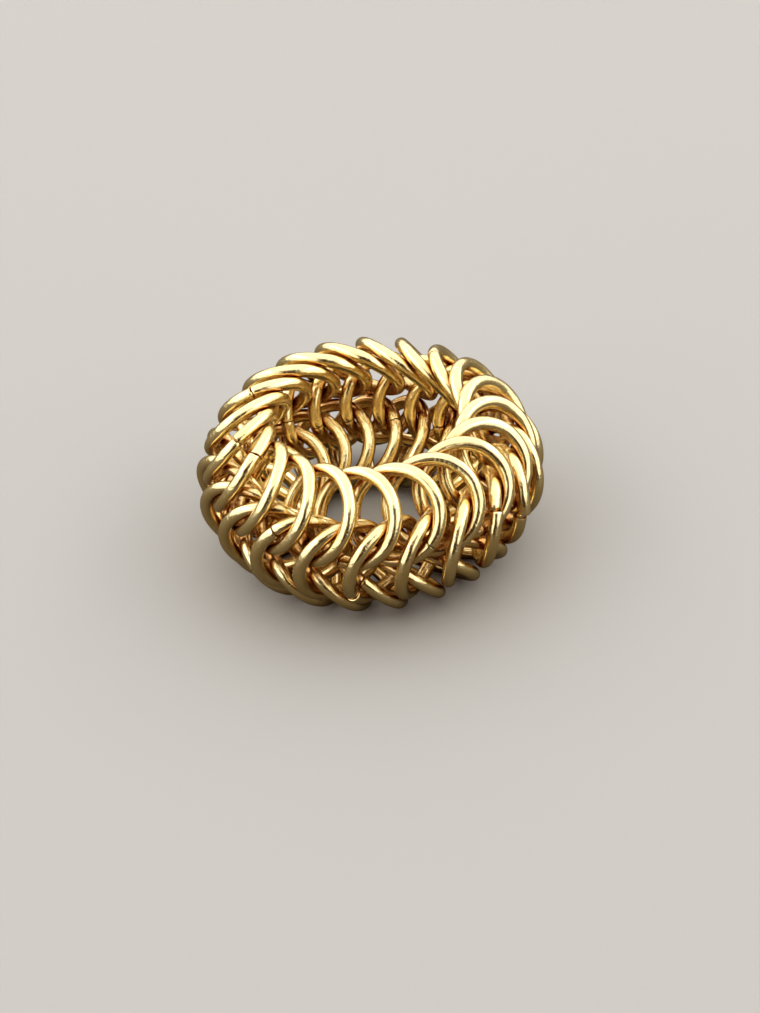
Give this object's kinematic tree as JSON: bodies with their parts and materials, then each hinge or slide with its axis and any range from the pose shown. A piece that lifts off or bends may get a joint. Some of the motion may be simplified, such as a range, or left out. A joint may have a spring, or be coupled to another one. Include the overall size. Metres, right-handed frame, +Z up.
{
  "type": "woven wire link finger ring",
  "caption": "Springy finger ring woven from interlocked round wire links in three leaning rows, lying on its side with an open finger hole.",
  "frame": {"origin": "on the surface that the ring lies on, below the middle of the finger hole", "axes": "+Z up along the finger hole's axis, X to the right as the picture shows it, Y away from the viewer"},
  "size_m": [0.0332, 0.0332, 0.0153],
  "materials": {
    "gold_wire": "polished gold-coloured drawn wire"
  },
  "bodies": {
    "root": {"upper_row": "gold_wire", "middle_row": "gold_wire", "lower_row": "gold_wire"}
  },
  "joints": []
}
